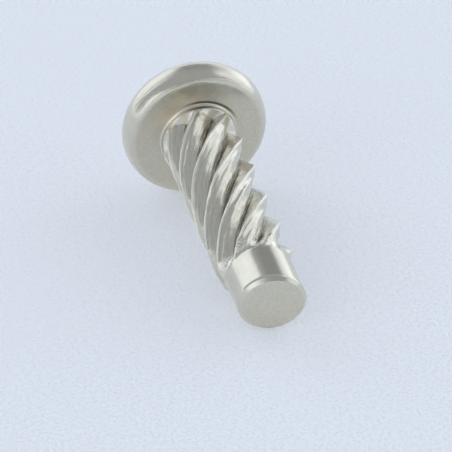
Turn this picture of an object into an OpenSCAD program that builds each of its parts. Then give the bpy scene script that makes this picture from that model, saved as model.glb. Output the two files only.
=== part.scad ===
// Drive rivet: a domed head on a shank with steep right-hand flutes and a plain pilot end.
// It lies as it comes to rest, on the rim of its head and the edge of its pilot end.
// Sizes are in millimetres and angles in degrees.

/* [Head] */
// diameter of the head
head_d = 6.8; // [6.5:0.1:7.6]
// height of the head above its seat face
head_h = 2.7; // [2.5:0.05:3.1]
// height of the rounded side, from the seat face to the foot of the dome
side_h = 0.8; // [0.6:0.05:1.1]
// diameter of the flat seat face
seat_d = 6.05; // [5.6:0.05:6.4]

/* [Shank] */
// length from the seat face to the pilot end
shank_l = 12.7; // [11:0.1:15]
// diameter of the plain neck under the head
neck_d = 3.5; // [3.3:0.05:3.6]
// length of the plain neck
neck_l = 0.25; // [0.2:0.05:0.6]
// radius of the fillet between the neck and the seat face
neck_fillet_r = 0.12; // [0.06:0.02:0.18]

/* [Flutes] */
// number of flutes round the shank
flute_starts = 7; // [6:1:9]
// length along the axis in which one flute goes once round
flute_lead = 15; // [13:0.2:20]
// diameter over the crests
crest_d = 3.6; // [3.4:0.05:3.75]
// diameter at the bottom of the flutes
root_d = 2.4; // [2.2:0.05:2.8]
// width of a crest, as an angle round the axis
crest_land = 2.5; // [1.5:0.25:4]
// width of the flank that faces the head
head_flank = 16; // [12:0.5:22]
// width of the rounded bottom of a flute
root_land = 6; // [2:0.5:8]
// how far the flank that faces the pilot swells outward
pilot_swell = 0.15; // [0:0.01:0.18]
// length in which the flutes deepen from the neck
run_in_l = 0.2; // [0.15:0.05:0.6]
// length in which the flutes fade out before the pilot
run_out_l = 0.9; // [0.5:0.05:1.4]

/* [Pilot] */
// diameter of the plain pilot
pilot_d = 3.05; // [2.85:0.05:3.2]
// length of the plain pilot
pilot_l = 2.15; // [1.6:0.05:2.8]
// width of the chamfer round the pilot end
tip_chamfer = 0.16; // [0.08:0.02:0.24]
// slant of the pilot end, as it was sheared from the wire
tip_slant = 7; // [0:0.5:10]
// direction round the axis in which the pilot end is longest
tip_long_side = 246; // [0:1:360]

/* [Pose] */
// turn of the flutes about the rivet's own axis as it lies
roll = 50; // [0:0.5:51]

/* [Hidden] */
$fn = 96;
head_r = head_d / 2;
seat_r = seat_d / 2;
side_bulge = head_r - seat_r;
dome_h = head_h - side_h;
neck_r = neck_d / 2;
crest_r = crest_d / 2;
root_r = root_d / 2;
pilot_r = pilot_d / 2;
pilot_start = shank_l - pilot_l;
// the fluted body starts and ends this far under the skin of the neck and the pilot
lap = 0.025;
// and reaches this far into them
bury = 0.16;
slices = 46;
// the head's round faces are turned this far, so that where they are cut into facets, a flat and
// not a corner lies on the floor
seam_turn = 3.1;
steel = [0.72, 0.71, 0.68];

// One tooth between two flutes, round the axis: angle after the crest, then radius.
// The flank that faces the head follows the crest, and the one that faces the pilot climbs to
// the next crest.
pitch = 360 / flute_starts;
root_at = crest_land + head_flank;
climb_at = root_at + root_land;
pilot_flank = pitch - climb_at;
mid_r = (root_r + crest_r) / 2;
// the flank that faces the head swells only a little, and the bottom of a flute is rounded
head_swell = 0.03;
round_up = 0.02;
tooth = [
    [0, crest_r],
    [crest_land, crest_r],
    [crest_land + head_flank / 2, mid_r + head_swell],
    [root_at, root_r + round_up],
    [root_at + root_land / 2, root_r],
    [climb_at, root_r + round_up],
    [climb_at + pilot_flank / 2, mid_r + pilot_swell]
];
corners = len(tooth);

// Stations along the axis, closer together where the flutes start and end.
flutes_from = neck_l + run_in_l;
flutes_to = pilot_start - run_out_l;
run_steps = 7;
z_stations = concat(
    [neck_l - bury],
    [for (i = [0 : run_steps]) neck_l + run_in_l * i / run_steps],
    [for (i = [1 : slices - 1]) flutes_from + (flutes_to - flutes_from) * i / slices],
    [for (i = [0 : run_steps]) flutes_to + run_out_l * i / run_steps],
    [pilot_start + bury]
);

function ease(x) = let (t = min(max(x, 0), 1)) t * t * (3 - 2 * t);
// the flutes start as a scoop at the neck and fade out toward the pilot
function scoop(x) = sin(90 * min(max(x, 0), 1));
function depth_at(z) = scoop((z - neck_l) / run_in_l) * ease((pilot_start - z) / run_out_l);
function plain_r(z) = (z < shank_l / 2 ? neck_r : pilot_r) - lap;
function flute_r(j, z) = plain_r(z) + (tooth[j][1] - plain_r(z)) * depth_at(z);
function flute_angle(k, j, z) = k * pitch + tooth[j][0] + 360 * z / flute_lead;

// The slanted end meets the wall of the pilot in a chamfer. Its depth under the end, at an
// angle from the long side, comes from a few rounds of the same step.
function chamfer_depth(angle, rounds = 4) = rounds == 0 ? tip_chamfer : let (
    d = chamfer_depth(angle, rounds - 1),
    x = pilot_r * cos(angle) / cos(tip_slant) - d * tan(tip_slant)
) norm([x, pilot_r * sin(angle)]) - pilot_r + tip_chamfer;
function wall_end(angle) = let (
    lean = pilot_r * tan(tip_slant) * cos(angle)
) shank_l + lean - chamfer_depth(angle) / cos(tip_slant);

// The rivet lies on the rounded side of its head and on the end of the pilot's wall, unless
// the last full crests touch first. The slope of the line that touches the side, which is a
// quarter of an ellipse, and that point comes from a few rounds of the same step.
up_side = -roll - tip_long_side;
function slope_on(r, z, rounds = 8) = rounds == 0 ? 0 : let (
    reach = norm([side_bulge, side_h * slope_on(r, z, rounds - 1)])
) (seat_r + reach - r) / (z + side_h);
tilt = atan(min(slope_on(pilot_r, wall_end(up_side + 180)), slope_on(crest_r, flutes_to)));

// Place of the seat's centre, with the box of the lying rivet centred over the origin.
side_reach = norm([side_bulge * cos(tilt), side_h * sin(tilt)]);
seat_z = seat_r * cos(tilt) - side_h * sin(tilt) + side_reach;
back_x = side_h * cos(tilt) + norm([dome_h * cos(tilt), head_r * sin(tilt)]);
end_lean = [
    sin(tip_slant) * cos(tilt) + cos(tip_slant) * cos(up_side) * sin(tilt),
    sin(up_side) * sin(tilt)
];
front_x = shank_l * cos(tilt) + (pilot_r - tip_chamfer) * norm(end_lean);
seat_x = (back_x - front_x) / 2;

// half of the head's section, with the axis at x = 0 and the seat face at y = 0
module head_section() {
    translate([0, -side_h]) square([seat_r, side_h]);
    intersection() {
        translate([seat_r, -side_h]) scale([side_bulge, side_h]) circle(r = 1);
        translate([seat_r - side_bulge / 2, -side_h]) square([2 * side_bulge, 2 * side_h]);
    }
    intersection() {
        translate([0, -side_h]) scale([head_r, dome_h]) circle(r = 1);
        translate([0, -head_h - 1]) square([head_r + 1, dome_h + 1]);
    }
}

// half of the neck's section, with its fillet
module neck_section() {
    translate([0, -side_h / 2]) square([neck_r, side_h / 2 + neck_l]);
    difference() {
        translate([neck_r / 2, -side_h / 2])
            square([neck_r / 2 + neck_fillet_r, side_h / 2 + neck_fillet_r]);
        translate([neck_r + neck_fillet_r, neck_fillet_r]) circle(r = neck_fillet_r);
    }
}

// the pilot, cut to its slanted end and chamfered there
module pilot() {
    reach = pilot_l + 2;
    flare = 1;
    intersection() {
        translate([0, 0, pilot_start]) cylinder(r = pilot_r, h = reach);
        translate([0, 0, shank_l])
            rotate([0, 0, tip_long_side])
                rotate([0, -tip_slant, 0])
                    rotate_extrude()
                        polygon([
                            [0, -reach],
                            [pilot_r + flare, -reach],
                            [pilot_r + flare, -tip_chamfer - flare],
                            [pilot_r - tip_chamfer, 0],
                            [0, 0]
                        ]);
    }
}

// the fluted body, as rings of teeth that turn along the axis
module flutes() {
    ring = flute_starts * corners;
    points = [
        for (z = z_stations, k = [0 : flute_starts - 1], j = [0 : corners - 1])
            let (a = flute_angle(k, j, z), r = flute_r(j, z))
                [r * cos(a), r * sin(a), z]
    ];
    last = len(z_stations) - 1;
    walls = [
        for (i = [0 : last - 1], p = [0 : ring - 1])
            let (q = (p + 1) % ring, lo = i * ring, hi = lo + ring)
                each [[lo + p, hi + p, hi + q], [lo + p, hi + q, lo + q]]
    ];
    near_end = [for (p = [0 : ring - 1]) p];
    far_end = [for (p = [0 : ring - 1]) last * ring + ring - 1 - p];
    polyhedron(points = points, faces = concat(walls, [near_end, far_end]), convexity = 6);
}

module drive_rivet() {
    color(steel)
        translate([seat_x, 0, seat_z])
            rotate([0, 90 + tilt, 0])
                rotate([0, 0, 180 + roll]) {
                    rotate([0, 0, seam_turn])
                        rotate_extrude() {
                            head_section();
                            neck_section();
                        }
                    flutes();
                    pilot();
                }
}

drive_rivet();
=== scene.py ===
# %% [markdown]
# A drive rivet is hammered into a drilled hole and never turned by hand: its steep flutes cut
# into the wall of the hole and turn the rivet as it goes in. This lesson dresses one such
# rivet, lying on a sheet of pale paper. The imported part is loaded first, because its place and
# size are fixed, and the rivet made here keeps to its box.

# %% Load the part
import math

import bpy
from mathutils import Matrix, Vector


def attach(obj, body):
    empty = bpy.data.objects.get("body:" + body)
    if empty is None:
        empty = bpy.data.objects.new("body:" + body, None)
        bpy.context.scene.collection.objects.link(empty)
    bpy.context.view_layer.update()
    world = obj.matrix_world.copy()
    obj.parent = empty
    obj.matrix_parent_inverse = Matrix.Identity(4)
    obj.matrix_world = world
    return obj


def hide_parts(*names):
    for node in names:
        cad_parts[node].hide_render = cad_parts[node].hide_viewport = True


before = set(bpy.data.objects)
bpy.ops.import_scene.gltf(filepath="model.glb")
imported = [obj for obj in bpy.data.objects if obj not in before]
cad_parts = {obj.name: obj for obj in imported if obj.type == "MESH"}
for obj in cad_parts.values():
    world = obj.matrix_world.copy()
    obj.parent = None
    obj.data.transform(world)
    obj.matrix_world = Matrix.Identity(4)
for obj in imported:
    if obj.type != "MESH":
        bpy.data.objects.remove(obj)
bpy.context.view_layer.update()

MM = 0.001
print("nodes:", sorted(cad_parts))

# %% [markdown]
# The rivet is one piece of cold-formed wire, so it could be modelled as a head, a screw and a
# pin that overlap. It is made as one closed skin instead, since the light has to run without a
# seam from the head over the neck into the flutes. The sizes are those of the solid part, in
# millimetres and degrees, measured along the rivet's own axis from the flat seat face under the
# head. Only the flank that faces the pilot swells a little less than the solid's, because the
# highlights on it ask for a flatter face.

# %% Sizes of the rivet
head_r, head_h, side_h, seat_r = 3.4, 2.7, 0.8, 3.025
neck_r, neck_end, neck_fillet = 1.75, 0.25, 0.12
crest_r, root_r = 1.8, 1.2
run_in_end, run_out_start = 0.45, 9.65
pilot_r, pilot_start, shank_end = 1.525, 10.55, 12.7
tip_chamfer, end_edge = 0.16, 0.02
flutes, lead = 7, 15.0
crest_land, head_flank, root_land = 2.5, 16.0, 6.0
head_swell, pilot_swell, round_up = 0.03, 0.1, 0.02
end_slant, end_long_side = math.radians(7), math.radians(246)
roll, tilt = math.radians(50), math.radians(8.1296)
seat_place = Vector((-5.07112, 0, 3.26956)) * MM
print("length:", round(head_h + shank_end, 2), "mm, head:", 2 * head_r, "mm across")

# %% [markdown]
# Two drawn lines hold the whole shape. The first is the half section: it runs from the top of
# the dome, round the rim, over the seat face, down the shank and across the pilot end. Each of
# its points also says how deep the flutes are there, how far the slant of the sheared end
# reaches, how matt the face is, and where a stain gathers and the painted shadow round the neck
# lies.

# %% Draw the head


def ease(x):
    """A soft step from 0 to 1."""
    t = min(max(x, 0.0), 1.0)
    return t * t * (3 - 2 * t)


def between(a, b, steps):
    """Steps from a to b, without a."""
    return [a + (b - a) * i / steps for i in range(1, steps + 1)]


section = []


def add(points, flute=0.0, slant=0.0, matt=0.0, stain_and_shade=0.0):
    """Adds points to the half section: distance from the axis, then place along it."""
    section.extend((r, z, flute, slant, matt, stain_and_shade) for r, z in points)


dome_steps, side_steps, seat_steps = 30, 16, 14
dome_h, side_bulge = head_h - side_h, head_r - seat_r
seat_in = neck_r + neck_fillet
dome = [math.radians(a) for a in [0] + between(0, 90, dome_steps)]
add([(head_r * math.sin(a), -side_h - dome_h * math.cos(a)) for a in dome])
side = [math.radians(a) for a in between(0, 90, side_steps)]
add([(seat_r + side_bulge * math.cos(a), side_h * (math.sin(a) - 1)) for a in side])
# the stain value grows toward the neck; it places the tan stain and the painted shadow in the
# crease round the neck
for r in between(seat_r, seat_in, seat_steps):
    add([(r, 0.0)], matt=1.0, stain_and_shade=ease((seat_r - r) / (seat_r - seat_in)))
print("head:", len(section), "points")

# %% Draw the shank and its end


def arc(centre, radius, start, end, steps):
    """Points on an arc of the half section, without the first. The angles are in degrees."""
    turns = [math.radians(a) for a in between(start, end, steps)]
    return [(centre[0] + radius * math.cos(a), centre[1] + radius * math.sin(a)) for a in turns]


fillet_steps, neck_steps, run_steps, flute_steps, pilot_steps, end_steps = 8, 3, 16, 100, 12, 9
run_in_l, run_out_l = run_in_end - neck_end, pilot_start - run_out_start
fillet = arc((seat_in, neck_fillet), neck_fillet, -90, -180, fillet_steps)
add(fillet, matt=0.3, stain_and_shade=0.4)
add([(neck_r, z) for z in between(neck_fillet, neck_end, neck_steps)])
for z in between(neck_end, run_in_end, run_steps):
    add([(neck_r, z)], flute=math.sin(math.pi / 2 * (z - neck_end) / run_in_l))
for z in between(run_in_end, run_out_start, flute_steps):
    add([(pilot_r, z)], flute=1.0)
for z in between(run_out_start, pilot_start, run_steps):
    add([(pilot_r, z)], flute=ease((pilot_start - z) / run_out_l))

wall_end, rim_r = shank_end - tip_chamfer, pilot_r - tip_chamfer
for z in between(pilot_start, wall_end, pilot_steps):
    add([(pilot_r, z)], slant=ease((z - pilot_start) / (wall_end - pilot_start)))
cuts = (0.06, 0.14, 0.5, 0.86, 0.94)
chamfer = [(rim_r + tip_chamfer * (1 - s), wall_end + tip_chamfer * s) for s in cuts]
add(chamfer, slant=1.0, matt=0.2)
flat_r = rim_r - end_edge
flat_end = [(r, shank_end) for r in [flat_r] + between(flat_r, 0.0, end_steps)]
add(flat_end, slant=1.0, matt=1.0)
print("half section:", len(section), "points")

# %% [markdown]
# The second line is one tooth of the fluted shank, drawn round the axis: a narrow crest, a
# flank that faces the head, a rounded bottom, and a flank that faces the pilot and climbs to the
# next crest. Rolled metal has no knife edges, so the corners are softened by averaging the line
# over a small angle. Points sit close together on the crest, because the bright line along it is
# the first thing that the eye finds on such a rivet.

# %% Draw one tooth
pitch = 360 / flutes
root_at = crest_land + head_flank
climb_at = root_at + root_land
mid_r = (root_r + crest_r) / 2
corners = [
    (0.0, crest_r),
    (crest_land, crest_r),
    (crest_land + head_flank / 2, mid_r + head_swell),
    (root_at, root_r + round_up),
    (root_at + root_land / 2, root_r),
    (climb_at, root_r + round_up),
    ((climb_at + pitch) / 2, mid_r + pilot_swell),
    (pitch, crest_r),
]


def tooth_at(angle):
    """Distance from the axis at an angle round one tooth, with sharp corners."""
    angle %= pitch
    for (a, ra), (b, rb) in zip(corners, corners[1:]):
        if angle <= b:
            return ra + (rb - ra) * (angle - a) / (b - a)


def softened(angle, reach, taps=25):
    """The same distance, averaged over a reach to each side."""
    spread = [angle + reach * (2 * i / (taps - 1) - 1) for i in range(taps)]
    return sum(tooth_at(a) for a in spread) / taps


print("tooth:", round(pitch, 2), "degrees wide,", round(crest_r - root_r, 2), "mm deep")

# %% Points on the tooth
crest_step, crest_points, past_crest, before_crest = 0.6, 7, 3.6, 2.4
bottom_from, bottom_to = root_at - 2, climb_at + 2
head_flank_steps, bottom_steps, pilot_flank_steps = 14, 8, 12
tooth_angles = [crest_step * i for i in range(crest_points)]
tooth_angles += between(past_crest, bottom_from, head_flank_steps)
tooth_angles += between(bottom_from, bottom_to, bottom_steps)
tooth_angles += between(bottom_to, pitch - before_crest, pilot_flank_steps)
tooth_angles += [pitch - crest_step * i for i in (3, 2, 1)]

crest_from, crest_to = pitch - 2.5, 4.5
crest_softening, plain_softening = 1.7, 1.6
tooth = []
for a in tooth_angles:
    near_crest = a < crest_to or a > crest_from
    r = softened(a, crest_softening if near_crest else plain_softening)
    tooth.append((math.radians(a), r * MM, (r - root_r) / (crest_r - root_r)))
crest_reach = max(t[1] for t in tooth) / MM
print("tooth:", len(tooth), "points,", round(crest_reach, 3), "mm at the crest")

# %% [markdown]
# Geometry Nodes combine the two lines. A grid has one row for each point of the half section
# and one column for each point of the teeth, all the way round. Its points are then moved to
# where the two lines say, turned by the lead of the flutes as they go along the shank. A spun
# profile with a screw cut into it would need a Boolean, which leaves ragged faces along the
# crests; here every crest is a clean row of edges.

# %% Helpers that place and wire nodes


def place(tree, kind, *values, **settings):
    """Adds a node, feeds its shown inputs in order, and gives its first shown output."""
    made = tree.nodes.new(kind)
    for name, value in settings.items():
        setattr(made, name, value)
    for socket, value in zip([s for s in made.inputs if s.enabled], values):
        if isinstance(value, bpy.types.NodeSocket):
            tree.links.new(value, socket)
        elif value is not None:
            socket.default_value = value
    return next(s for s in made.outputs if s.enabled)


def calc(tree, operation, *values):
    return place(tree, "ShaderNodeMath", *values, operation=operation)


def whole(tree, operation, *values):
    return place(tree, "FunctionNodeIntegerMath", *values, operation=operation)


# %% Inputs of the rivet's rule
rule = bpy.data.node_groups.new("fluted_rivet_rule", "GeometryNodeTree")
rule_inputs = {
    "Half Section": "NodeSocketGeometry",
    "Tooth Section": "NodeSocketObject",
    "Flutes": "NodeSocketInt",
    "Lead": "NodeSocketFloat",
    "Flutes From": "NodeSocketFloat",
    "Flutes To": "NodeSocketFloat",
    "End Slant": "NodeSocketFloat",
    "End Long Side": "NodeSocketFloat",
    "Uneven Depth": "NodeSocketFloat",
    "Rolled Ripple": "NodeSocketFloat",
    "Drawn Streaks": "NodeSocketFloat",
    "Ragged Ends": "NodeSocketFloat",
    "Seed": "NodeSocketInt",
    "Roll": "NodeSocketVector",
    "Tilt": "NodeSocketVector",
    "Seat Place": "NodeSocketVector",
    "Metal": "NodeSocketMaterial",
}
rule_ids = {}
for name, kind in rule_inputs.items():
    made = rule.interface.new_socket(name, in_out="INPUT", socket_type=kind)
    rule_ids[name] = made.identifier
rule.interface.new_socket("Rivet", in_out="OUTPUT", socket_type="NodeSocketGeometry")
given = rule.nodes.new("NodeGroupInput").outputs
print("rule inputs:", len(rule_ids))

# %% Rows and columns of the grid


def points_in(geometry):
    return place(rule, "GeometryNodeAttributeDomainSize", geometry, component="MESH")


tooth_info = rule.nodes.new("GeometryNodeObjectInfo")
rule.links.new(given["Tooth Section"], tooth_info.inputs["Object"])
tooth_line = tooth_info.outputs["Geometry"]
rows = points_in(given["Half Section"])
tooth_points = points_in(tooth_line)
columns = whole(rule, "MULTIPLY", tooth_points, given["Flutes"])
index = place(rule, "GeometryNodeInputIndex")
row = whole(rule, "MODULO", index, rows)
column = whole(rule, "DIVIDE_FLOOR", index, rows)
tooth_point = whole(rule, "MODULO", column, tooth_points)
tooth_number = whole(rule, "DIVIDE_FLOOR", column, tooth_points)
sheet = place(rule, "GeometryNodeMeshGrid", 1.0, 1.0, whole(rule, "ADD", columns, 1), rows)
print("grid:", len(section), "rows,", flutes * len(tooth) + 1, "columns")

# %% What the two lines say at each point
position = place(rule, "GeometryNodeInputPosition")


def read(geometry, value, index, data_type):
    return place(rule, "GeometryNodeSampleIndex", geometry, value, index, data_type=data_type)


def on_row(name):
    """A named value of the half section, at the point's row."""
    value = place(rule, "GeometryNodeInputNamedAttribute", name, data_type="FLOAT")
    return read(given["Half Section"], value, row, "FLOAT")


def parts(vector):
    made = rule.nodes.new("ShaderNodeSeparateXYZ")
    rule.links.new(vector, made.inputs[0])
    return made.outputs


on_section = parts(read(given["Half Section"], position, row, "FLOAT_VECTOR"))
on_tooth = parts(read(tooth_line, position, tooth_point, "FLOAT_VECTOR"))
plain_r, along = on_section["X"], on_section["Z"]
flute, slant = on_row("flute"), on_row("slant")
matt, stain_and_shade = on_row("matt"), on_row("stain_and_shade")
print("rule so far:", len(rule.nodes), "nodes")

# %% Turn and depth of the flutes
turned = place(rule, "ShaderNodeClamp", along, given["Flutes From"], given["Flutes To"])
turn = calc(rule, "MULTIPLY", calc(rule, "DIVIDE", turned, given["Lead"]), math.tau)
tooth_step = calc(rule, "DIVIDE", math.tau, given["Flutes"])
flat_angle = calc(rule, "MULTIPLY_ADD", tooth_number, tooth_step, on_tooth["X"])
angle = calc(rule, "ADD", flat_angle, turn)

round_number = whole(rule, "MODULO", tooth_number, given["Flutes"])
uneven = place(
    rule, "FunctionNodeRandomValue", 0.0, given["Uneven Depth"], round_number, given["Seed"],
    data_type="FLOAT",
)
share = calc(rule, "MULTIPLY", flute, calc(rule, "SUBTRACT", 1.0, uneven))
gap = calc(rule, "SUBTRACT", on_tooth["Y"], plain_r)
smooth_r = calc(rule, "MULTIPLY_ADD", gap, share, plain_r)
print("rule so far:", len(rule.nodes), "nodes")

# %% [markdown]
# Rolling and drawing leave the skin a little uneven: ripples on the flutes, streaks along them,
# and ragged ends. A bump in the material would not change the outline, so these waves move the
# points themselves. The streaks need a place to be drawn on that follows the wire, so each point
# gets a strand: squeezed along the shank, where streaks run with the flutes, and squeezed round
# the head, where they run round its side.

# %% Strands, and the waves of the skin
head_sweep, shank_sweep = 0.15, 1.0
head_stretch, shank_stretch = 400.0, 60.0
head_until = -0.1 * MM
ripple_scale, streak_scale, ragged_scale = 2200.0, 9.0, 3500.0
wave_detail, wave_roughness = 2.0, 0.5


def round_axis(radius, z):
    x = calc(rule, "MULTIPLY", radius, calc(rule, "COSINE", angle))
    y = calc(rule, "MULTIPLY", radius, calc(rule, "SINE", angle))
    return place(rule, "ShaderNodeCombineXYZ", x, y, z)


def swing(spot, scale, depth):
    """A gentle wave of the skin, as deep as given from its top to its bottom."""
    wave = place(rule, "ShaderNodeTexNoise", spot, scale, wave_detail, wave_roughness)
    return calc(rule, "MULTIPLY", calc(rule, "SUBTRACT", wave, 0.5), depth)


sweep = place(rule, "ShaderNodeMapRange", along, head_until, 0.0, head_sweep, shank_sweep)
stretch = place(rule, "ShaderNodeMapRange", along, head_until, 0.0, head_stretch, shank_stretch)
strand = place(
    rule, "ShaderNodeCombineXYZ",
    calc(rule, "MULTIPLY", calc(rule, "COSINE", flat_angle), sweep),
    calc(rule, "MULTIPLY", calc(rule, "SINE", flat_angle), sweep),
    calc(rule, "MULTIPLY", along, stretch),
)
ripple = swing(round_axis(smooth_r, along), ripple_scale, given["Rolled Ripple"])
drawn = swing(strand, streak_scale, given["Drawn Streaks"])
radius = calc(rule, "MULTIPLY_ADD", calc(rule, "ADD", ripple, drawn), flute, smooth_r)
ends = calc(rule, "MULTIPLY", flute, calc(rule, "SUBTRACT", 1.0, flute))
ragged = swing(round_axis(smooth_r, along), ragged_scale, given["Ragged Ends"])
radius = calc(rule, "MULTIPLY_ADD", ragged, ends, radius)
print("rule so far:", len(rule.nodes), "nodes")

# %% The sheared end, and moving the points
lean = calc(rule, "COSINE", calc(rule, "SUBTRACT", angle, given["End Long Side"]))
drop = calc(rule, "MULTIPLY", calc(rule, "TANGENT", given["End Slant"]), lean)
along_end = calc(rule, "MULTIPLY_ADD", calc(rule, "MULTIPLY", drop, radius), slant, along)
skin = place(rule, "GeometryNodeSetPosition", sheet, True, round_axis(radius, along_end))
print("rule so far:", len(rule.nodes), "nodes")

# %% Values for the metal, then laying the rivet down
seam_reach = 1e-7


def keep(geometry, name, value, data_type="FLOAT"):
    """Stores a value on the points, for the material to read."""
    return place(
        rule, "GeometryNodeStoreNamedAttribute", geometry, True, name, value,
        data_type=data_type,
    )


crest = calc(rule, "MULTIPLY", on_tooth["Z"], flute)
valley = calc(rule, "SUBTRACT", flute, crest)
skin = keep(skin, "matt", matt)
skin = keep(skin, "crest", crest)
skin = keep(skin, "valley", valley)
skin = keep(skin, "stain_and_shade", stain_and_shade)
skin = keep(skin, "strand", strand, "FLOAT_VECTOR")
skin = place(rule, "GeometryNodeMergeByDistance", skin, True, seam_reach)
skin = place(rule, "GeometryNodeSetShadeSmooth", skin, True, True)
skin = place(rule, "GeometryNodeTransform", skin, None, given["Roll"])
skin = place(rule, "GeometryNodeTransform", skin, given["Seat Place"], given["Tilt"])
skin = place(rule, "GeometryNodeRealizeInstances", skin)
skin = place(rule, "GeometryNodeSetMaterial", skin, True, given["Metal"])
rule.links.new(skin, rule.nodes.new("NodeGroupOutput").inputs["Rivet"])
print("rule:", len(rule.nodes), "nodes")

# %% [markdown]
# The metal is taken to be nickel-plated steel: a warm grey that is bright on the rolled flutes,
# the pilot and the head, and matt on the pressed seat face and the sheared end. It could be one
# picture wrapped round the rivet. Patterns made by nodes are used instead, because they read the
# values kept on the points, so each finish stays on its own face, and they stay sharp up close.
# One shader group draws grain, as a value that wanders round a half. The paper under the rivet
# uses the same group at another scale.

# %% A group for fine grain
grain = bpy.data.node_groups.new("fine_grain", "ShaderNodeTree")
grain.interface.new_socket("Vector", in_out="INPUT", socket_type="NodeSocketVector")
for name, value in (("Scale", 1000.0), ("Contrast", 1.0)):
    made = grain.interface.new_socket(name, in_out="INPUT", socket_type="NodeSocketFloat")
    made.default_value = value
grain.interface.new_socket("Grain", in_out="OUTPUT", socket_type="NodeSocketFloat")
grain_in = grain.nodes.new("NodeGroupInput").outputs
grain_detail, grain_roughness = 4.0, 0.6
coarse = place(
    grain, "ShaderNodeTexNoise", grain_in["Vector"], grain_in["Scale"],
    grain_detail, grain_roughness,
)
from_half = calc(grain, "SUBTRACT", coarse, 0.5)
swung = calc(grain, "MULTIPLY_ADD", from_half, grain_in["Contrast"], 0.5)
grain_out = place(grain, "ShaderNodeClamp", swung, 0.0, 1.0)
grain.links.new(grain_out, grain.nodes.new("NodeGroupOutput").inputs["Grain"])
print("grain group:", len(grain.nodes), "nodes")

# %% Helpers for finishes


def new_material(name):
    made = bpy.data.materials.new(name)
    made.use_nodes = True
    return made, made.node_tree, made.node_tree.nodes["Principled BSDF"].inputs


def grain_of(tree, vector, scale, contrast):
    made = tree.nodes.new("ShaderNodeGroup")
    made.node_tree = grain
    tree.links.new(vector, made.inputs["Vector"])
    made.inputs["Scale"].default_value = scale
    made.inputs["Contrast"].default_value = contrast
    return made.outputs["Grain"]


def attribute(tree, name, output="Fac"):
    made = tree.nodes.new("ShaderNodeAttribute")
    made.attribute_name = name
    return made.outputs[output]


def blend(tree, factor, a, b):
    """A colour between a and b."""
    made = tree.nodes.new("ShaderNodeMix")
    made.data_type = "RGBA"
    for socket, value in zip((made.inputs[0], made.inputs[6], made.inputs[7]), (factor, a, b)):
        if isinstance(value, bpy.types.NodeSocket):
            tree.links.new(value, socket)
        else:
            socket.default_value = value
    return made.outputs[2]


def ramp(tree, value, low, high):
    """A soft step: 0 at low, 1 at high."""
    return place(
        tree, "ShaderNodeMapRange", value, low, high, 0.0, 1.0,
        interpolation_type="SMOOTHSTEP",
    )


def reach_of(tree, vector, direction):
    """How far a spot lies along a direction."""
    made = tree.nodes.new("ShaderNodeVectorMath")
    made.operation = "DOT_PRODUCT"
    tree.links.new(vector, made.inputs[0])
    made.inputs[1].default_value = direction
    return made.outputs["Value"]


# %% [markdown]
# Before any colour, the metal needs to know where it is. Three grains give broad clouds, fine
# pits and drawn streaks, and the values kept on the points tell the crests, the flute bottoms,
# the matt faces and the flute ends apart. The crests and the flute ends get a painted highlight:
# by the neck the flute ends all over, and toward the pilot only in patches.

# %% Where each finish lies
nickel, metal, shine = new_material("nickel_plated_steel")
cloud_scale, cloud_contrast = 900.0, 1.6
pit_scale, pit_contrast = 9000.0, 1.4
streak_grain_scale, streak_contrast = 28.0, 1.5


def times(*masks):
    """All the masks at once."""
    product = masks[0]
    for mask in masks[1:]:
        product = calc(metal, "MULTIPLY", product, mask)
    return product


def more(value, share, base):
    """A share of a value, on top of a base."""
    return calc(metal, "MULTIPLY_ADD", value, share, base)


spot = metal.nodes.new("ShaderNodeTexCoord").outputs["Object"]
strand_at = attribute(metal, "strand", "Vector")
matt_at, crest_at = attribute(metal, "matt"), attribute(metal, "crest")
valley_at, stain_and_shade_at = attribute(metal, "valley"), attribute(metal, "stain_and_shade")
cloud = grain_of(metal, spot, cloud_scale, cloud_contrast)
pits = grain_of(metal, spot, pit_scale, pit_contrast)
streaks = grain_of(metal, strand_at, streak_grain_scale, streak_contrast)
strand_height = reach_of(metal, strand_at, (0.0, 0.0, 1.0))
flute_at = calc(metal, "ADD", crest_at, valley_at)
fluted_at = ramp(metal, flute_at, 0.3, 1.0)
by_neck = ramp(metal, strand_height, 0.1, 0.05)
patchy = calc(metal, "MAXIMUM", ramp(metal, pits, 0.3, 0.7), by_neck)
ends_at = times(ramp(metal, flute_at, 0.05, 0.3), ramp(metal, flute_at, 1.0, 0.8), patchy)
# painted highlight: the crests and the flute ends, which take a whiter colour below
crest_and_end_highlight = calc(metal, "MAXIMUM", ramp(metal, crest_at, 0.9, 1.0), ends_at)
# painted shade at the bottom of the flutes, broken up by the streaks
valley_shade = times(ramp(metal, valley_at, 0.8, 0.98), ramp(metal, streaks, 0.2, 0.6))
print("metal so far:", len(metal.nodes), "nodes")

# %% [markdown]
# The colour is laid on in coats: a clouded warm grey, the speckled pressed faces and dark streaks
# on the flutes, as dirt and wear come to a real rivet; then a painted highlight on the crests and
# flute ends, painted shade at the bottom of the flutes, and on the upper seat face a tan stain
# painted lighter than the metal as painted light, a darker tone toward the top of the seat face
# and part of a thin painted shadow in the crease round the neck. It could be mixed as one colour,
# but each coat goes over the ones before it through its own mask instead, so that any one can be
# changed without the rest.

# %% Colour of the metal
# The colours below include a painted highlight, painted shade for the flute bottoms, a tan stain
# made lighter as painted light, a darker tone for the top of the seat face and a painted shadow
# for the crease round the neck.
warm_grey, light_grey = (0.657, 0.62, 0.52, 1), (0.757, 0.715, 0.601, 1)
pressed_dark, pressed_light = (0.54, 0.51, 0.42, 1), (0.88, 0.83, 0.7, 1)
streak_grey, painted_highlight_white = (0.45, 0.425, 0.36, 1), (0.97, 0.93, 0.83, 1)
valley_shade_brown, stain_with_sheen_tan = (0.14, 0.12, 0.09, 1), (0.85, 0.73, 0.575, 1)
seat_top_dark_tone, crease_shadow_brown = (0.42, 0.39, 0.3, 1), (0.1, 0.06, 0.035, 1)


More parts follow.
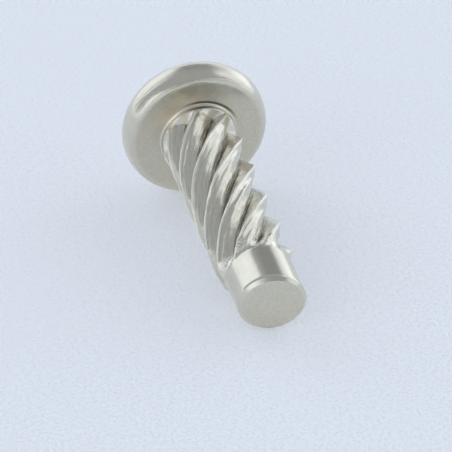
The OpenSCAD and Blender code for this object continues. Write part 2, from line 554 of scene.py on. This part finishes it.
def coat_over(tone, mask, share, colour):
    return blend(metal, times(mask, share), tone, colour)


def on_side(direction, low, high):
    """The part of the rivet that lies toward a direction, in millimetres from the origin."""
    return ramp(metal, reach_of(metal, spot, direction), low * MM, high * MM)


drawn_dark = times(ramp(metal, streaks, 0.55, 0.15), fluted_at)
# a tan stain on the upper seat, painted lighter than the metal round it as painted light
stain_with_sheen = times(stain_and_shade_at, on_side((0.0, -0.55, 0.83), 4.0, 5.0), ramp(metal, cloud, 0.1, 0.6))
# the matt faces get darker toward the top, on the upper seat face
seat_top_darker = times(matt_at, on_side((0.0, 0.1, 1.0), 5.0, 5.9), ramp(metal, cloud, 0.9, 0.3))
# painted shadow in the crease where the neck meets the seat, on its upper part
neck_crease_shadow = times(ramp(metal, stain_and_shade_at, 0.95, 0.99), on_side((0.0, 0.35, 0.94), 4.3, 4.9))

tone = blend(metal, cloud, warm_grey, light_grey)
tone = coat_over(tone, matt_at, 0.6, blend(metal, pits, pressed_dark, pressed_light))
tone = coat_over(tone, drawn_dark, 0.5, streak_grey)
# painted highlight on the crests and the flute ends
tone = coat_over(tone, crest_and_end_highlight, 0.95, painted_highlight_white)
# painted shade at the bottom of the flutes
tone = coat_over(tone, valley_shade, 0.85, valley_shade_brown)
# the tan stain, lighter than the metal as painted light
tone = coat_over(tone, stain_with_sheen, 0.9, stain_with_sheen_tan)
# the seat face darker toward the top
tone = coat_over(tone, seat_top_darker, 0.7, seat_top_dark_tone)
# painted shadow in the crease round the neck
tone = coat_over(tone, neck_crease_shadow, 0.85, crease_shadow_brown)
metal.links.new(tone, shine["Base Color"])
shine["Metallic"].default_value = 1.0
print("metal so far:", len(metal.nodes), "nodes")

# %% [markdown]
# Plating is smooth where it was rolled and rough where it was pressed, sheared or rubbed, so the
# roughness starts low and grows with each of these. Marks too fine for the mesh become relief in
# the shader: streaks on the flutes and the head's side, shallow dents everywhere, and pits on
# the matt faces and the dome. On the dome the streaks fade out, because they would meet at its
# top like the spokes of a wheel.

# %% Shine and relief of the metal
plain_roughness = 0.1
relief_strength, relief_depth = 0.4, 0.00003
# heights on the strand at which the head's streaks start to fade, and are gone
fade_from, gone_at = -0.35, -0.7

gloss = more(matt_at, 0.3, plain_roughness)
gloss = more(pits, 0.08, gloss)
gloss = more(valley_shade, 0.2, gloss)
gloss = more(crest_and_end_highlight, 0.35, gloss)
metal.links.new(gloss, shine["Roughness"])

above_seat = ramp(metal, strand_height, 0.0, -0.01)
on_head_side = times(above_seat, ramp(metal, strand_height, gone_at, fade_from))
on_dome = ramp(metal, strand_height, fade_from, gone_at)
streak_share = more(on_head_side, 0.9, more(fluted_at, 1.1, 0.03))
pit_share = more(on_dome, 0.25, more(matt_at, 0.95, 0.04))
relief = times(streaks, streak_share)
relief = more(cloud, 0.6, relief)
relief = more(pits, pit_share, relief)
bump = metal.nodes.new("ShaderNodeBump")
bump.inputs["Strength"].default_value = relief_strength
bump.inputs["Distance"].default_value = relief_depth
metal.links.new(relief, bump.inputs["Height"])
metal.links.new(bump.outputs["Normal"], shine["Normal"])
print("metal:", len(metal.nodes), "nodes")

# %% [markdown]
# Now the two lines become objects, and the rule runs on them once. Its result is kept as a plain
# mesh and the lines are thrown away, since a finished piece should hold no live rule.

# %% Run the rule


def line_object(name, points, **values):
    """A loose row of points, with named values on them, for the nodes to read."""
    mesh = bpy.data.meshes.new(name)
    mesh.from_pydata(points, [], [])
    for value_name, numbers in values.items():
        mesh.attributes.new(value_name, "FLOAT", "POINT").data.foreach_set("value", numbers)
    made = bpy.data.objects.new(name, mesh)
    bpy.context.scene.collection.objects.link(made)
    return made


section_points = [(r * MM, 0, z * MM) for r, z, *_ in section]
section_values = dict(zip(("flute", "slant", "matt", "stain_and_shade"), list(zip(*section))[2:]))
section_drawn = line_object("half_section", section_points, **section_values)
tooth_drawn = line_object("tooth_section", tooth)
values = {
    "Tooth Section": tooth_drawn,
    "Flutes": flutes,
    "Lead": lead * MM,
    "Flutes From": neck_end * MM,
    "Flutes To": pilot_start * MM,
    "End Slant": end_slant,
    "End Long Side": end_long_side,
    "Uneven Depth": 0.06,
    "Rolled Ripple": 0.08 * MM,
    "Drawn Streaks": 0.16 * MM,
    "Ragged Ends": 0.15 * MM,
    "Seed": 4,
    "Roll": (0, 0, math.pi + roll),
    "Tilt": (0, math.pi / 2 + tilt, 0),
    "Seat Place": tuple(seat_place),
    "Metal": nickel,
}
modifier = section_drawn.modifiers.new("rivet", "NODES")
modifier.node_group = rule
for name, value in values.items():
    modifier[rule_ids[name]] = value
shaped = section_drawn.evaluated_get(bpy.context.evaluated_depsgraph_get())
skin_mesh = bpy.data.meshes.new_from_object(shaped)
skin_mesh.name = "fluted_rivet"
section_drawn.modifiers.remove(modifier)
rivet = bpy.data.objects.new("fluted_rivet", skin_mesh)
bpy.context.scene.collection.objects.link(rivet)
for used_line in (section_drawn, tooth_drawn):
    bpy.data.objects.remove(used_line)
print("rivet:", len(skin_mesh.polygons), "faces")

# %% Measure the rivet


def volume_of(mesh):
    mesh.calc_loop_triangles()
    spots = [v.co for v in mesh.vertices]
    corners_of = (tuple(spots[i] for i in t.vertices) for t in mesh.loop_triangles)
    return sum(a.dot(b.cross(c)) for a, b, c in corners_of) / 6


print("volume:", round(volume_of(skin_mesh) / MM**3, 1), "mm3")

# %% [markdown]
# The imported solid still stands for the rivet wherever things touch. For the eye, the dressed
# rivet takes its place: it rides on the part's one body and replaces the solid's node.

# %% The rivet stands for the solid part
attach(rivet, "root")
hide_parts("drive_rivet")
print("dressed:", rivet.name)

# %% [markdown]
# The rivet lies on a sheet of pale, slightly blue paper that fills the view. Paper is never
# quite even, so its colour carries a faint grain. It could be made paler with stronger lamps,
# but those would wash out the metal. A little glow that only the eye and the metal's reflections
# see does it instead, and leaves the rivet's shadow where it is.

# %% Paper floor
paper_scale, paper_contrast, paper_glow = 7000.0, 5.0, 0.37
fibre_dark, fibre_light = (0.665, 0.682, 0.714, 1), (0.794, 0.814, 0.853, 1)
glow_dark, glow_light = (0.67, 0.706, 0.782, 1), (0.77, 0.812, 0.898, 1)
paper, fibres, coat = new_material("pale_paper")
paper_spot = fibres.nodes.new("ShaderNodeTexCoord").outputs["Object"]
speck = grain_of(fibres, paper_spot, paper_scale, paper_contrast)
fibres.links.new(blend(fibres, speck, fibre_dark, fibre_light), coat["Base Color"])
path = fibres.nodes.new("ShaderNodeLightPath").outputs
seen = calc(fibres, "MAXIMUM", path["Is Camera Ray"], path["Is Glossy Ray"])
seen = calc(fibres, "MAXIMUM", seen, path["Is Transmission Ray"])
fibres.links.new(blend(fibres, speck, glow_dark, glow_light), coat["Emission Color"])
fibres.links.new(calc(fibres, "MULTIPLY", seen, paper_glow), coat["Emission Strength"])
coat["Roughness"].default_value = 0.9
coat["Specular IOR Level"].default_value = 0.2

half_paper = 1.0
paper_corners = [Vector((x, y, 0)) * half_paper for x, y in ((-1, -1), (1, -1), (1, 1), (-1, 1))]
paper_mesh = bpy.data.meshes.new("paper")
paper_mesh.from_pydata(paper_corners, [], [(0, 1, 2, 3)])
paper_mesh.materials.append(paper)
floor = bpy.data.objects.new("paper", paper_mesh)
bpy.context.scene.collection.objects.link(floor)
print("paper:", 2 * half_paper, "m square,", len(fibres.nodes), "nodes")

# %% [markdown]
# Metal shows its surroundings, so the room matters as much as the metal. A pale, slightly blue
# room, darker overhead, gives the soft level. Bright patches at the front left, the back left
# and the right give the long highlights, and dark patches at the front, the left and high at the
# back give the dark bands between them. Front is the side of the camera. The patches could be
# lamps and black cards, but painted on the world they have soft edges and cast no hard shadows.

# %% Room
world = bpy.data.worlds.new("studio")
bpy.context.scene.world = world
world.use_nodes = True
room = world.node_tree
heading = room.nodes.new("ShaderNodeTexCoord").outputs["Generated"]
walls = (0.93, 1.01, 1.1, 1)
# each patch: angle round the rivet and angle above the floor in degrees, the cosines of the
# angles from its middle at which it starts and is full, and its colour
patches = {
    "overhead": (0, 90, 0.36, 0.66, (0.435, 0.47, 0.515, 1)),
    "front": (12, 20, 0.82, 0.92, (0.375, 0.41, 0.45, 1)),
    "left": (-108, 28, 0.885, 0.95, (0.44, 0.48, 0.53, 1)),
    "front_left": (-62, 22, 0.92, 0.975, (1.2, 1.3, 1.42, 1)),
    "back_left": (-152, 24, 0.89, 0.95, (1.1, 1.19, 1.31, 1)),
    "right_high": (104, 38, 0.93, 0.985, (1.02, 1.1, 1.2, 1)),
    "right_low": (124, 8, 0.93, 0.985, (1.25, 1.35, 1.48, 1)),
    "back_high": (163, 38, 0.92, 0.98, (0.32, 0.345, 0.38, 1)),
}


def heading_of(azimuth, elevation):
    """A direction from its angle round the rivet and its angle above the floor, in degrees."""
    turn, rise = math.radians(azimuth), math.radians(elevation)
    level = math.cos(rise)
    return Vector((math.cos(turn) * level, math.sin(turn) * level, math.sin(rise)))


def toward(direction, low, high):
    """1 near a direction, 0 away from it."""
    return ramp(room, reach_of(room, heading, direction.normalized()), low, high)


sky = walls
for azimuth, elevation, low, high, colour in patches.values():
    sky = blend(room, toward(heading_of(azimuth, elevation), low, high), sky, colour)
room.links.new(sky, room.nodes["Background"].inputs["Color"])
room.nodes["Background"].inputs["Strength"].default_value = 1.0
print("room:", len(patches), "patches")

# %% [markdown]
# Two weak soft lights stand at two of the bright patches and add a little to the highlights
# there. They stay weak, because the room already lights the rivet at a plain level.

# %% Lights
light_distance, light_level = 0.4, 0.12


def soft_light(name, direction, width, height):
    """A flat soft light that faces the rivet, its face as bright as the light level."""
    lamp = bpy.data.lights.new(name, "AREA")
    lamp.shape, lamp.size, lamp.size_y = "RECTANGLE", width, height
    lamp.energy = light_level * math.pi * width * height
    made = bpy.data.objects.new(name, lamp)
    made.location = direction.normalized() * light_distance
    made.rotation_euler = direction.to_track_quat("Z", "Y").to_euler()
    made.visible_camera = False
    bpy.context.scene.collection.objects.link(made)


soft_light("back_left", heading_of(-152, 24), 0.11, 0.14)
soft_light("right_low", heading_of(124, 9), 0.14, 0.1)

# %% [markdown]
# The photograph looks down on the pilot end at thirty degrees, from far away with a long lens,
# so the head and the end keep almost the same scale. A camera without perspective would come
# close, but the head is a little smaller for being farther off, so a real lens is used.

# %% Camera
view_turn, view_rise = math.radians(74.6), math.radians(29.8)
focal_length, sensor_width = 352.4, 36.0
camera_right, camera_down, camera_back = 1.2752, 4.1448, 204
right = Vector((math.cos(view_turn), math.sin(view_turn), 0))
back = Vector((
    math.sin(view_turn) * math.cos(view_rise),
    -math.cos(view_turn) * math.cos(view_rise),
    math.sin(view_rise),
))
up = back.cross(right)
lens = bpy.data.cameras.new("photo_view")
lens.sensor_width = sensor_width
lens.lens = focal_length
lens.clip_start, lens.clip_end = 0.01, 10.0
camera = bpy.data.objects.new("photo_view", lens)
from_seat = right * camera_right - up * camera_down + back * camera_back
facing = Matrix((right, up, back)).transposed().to_4x4()
camera.matrix_world = Matrix.Translation(seat_place + from_seat * MM) @ facing
bpy.context.scene.collection.objects.link(camera)
bpy.context.scene.camera = camera
bpy.context.scene.view_settings.view_transform = "Standard"
print("camera:", camera_back, "mm from the seat face")
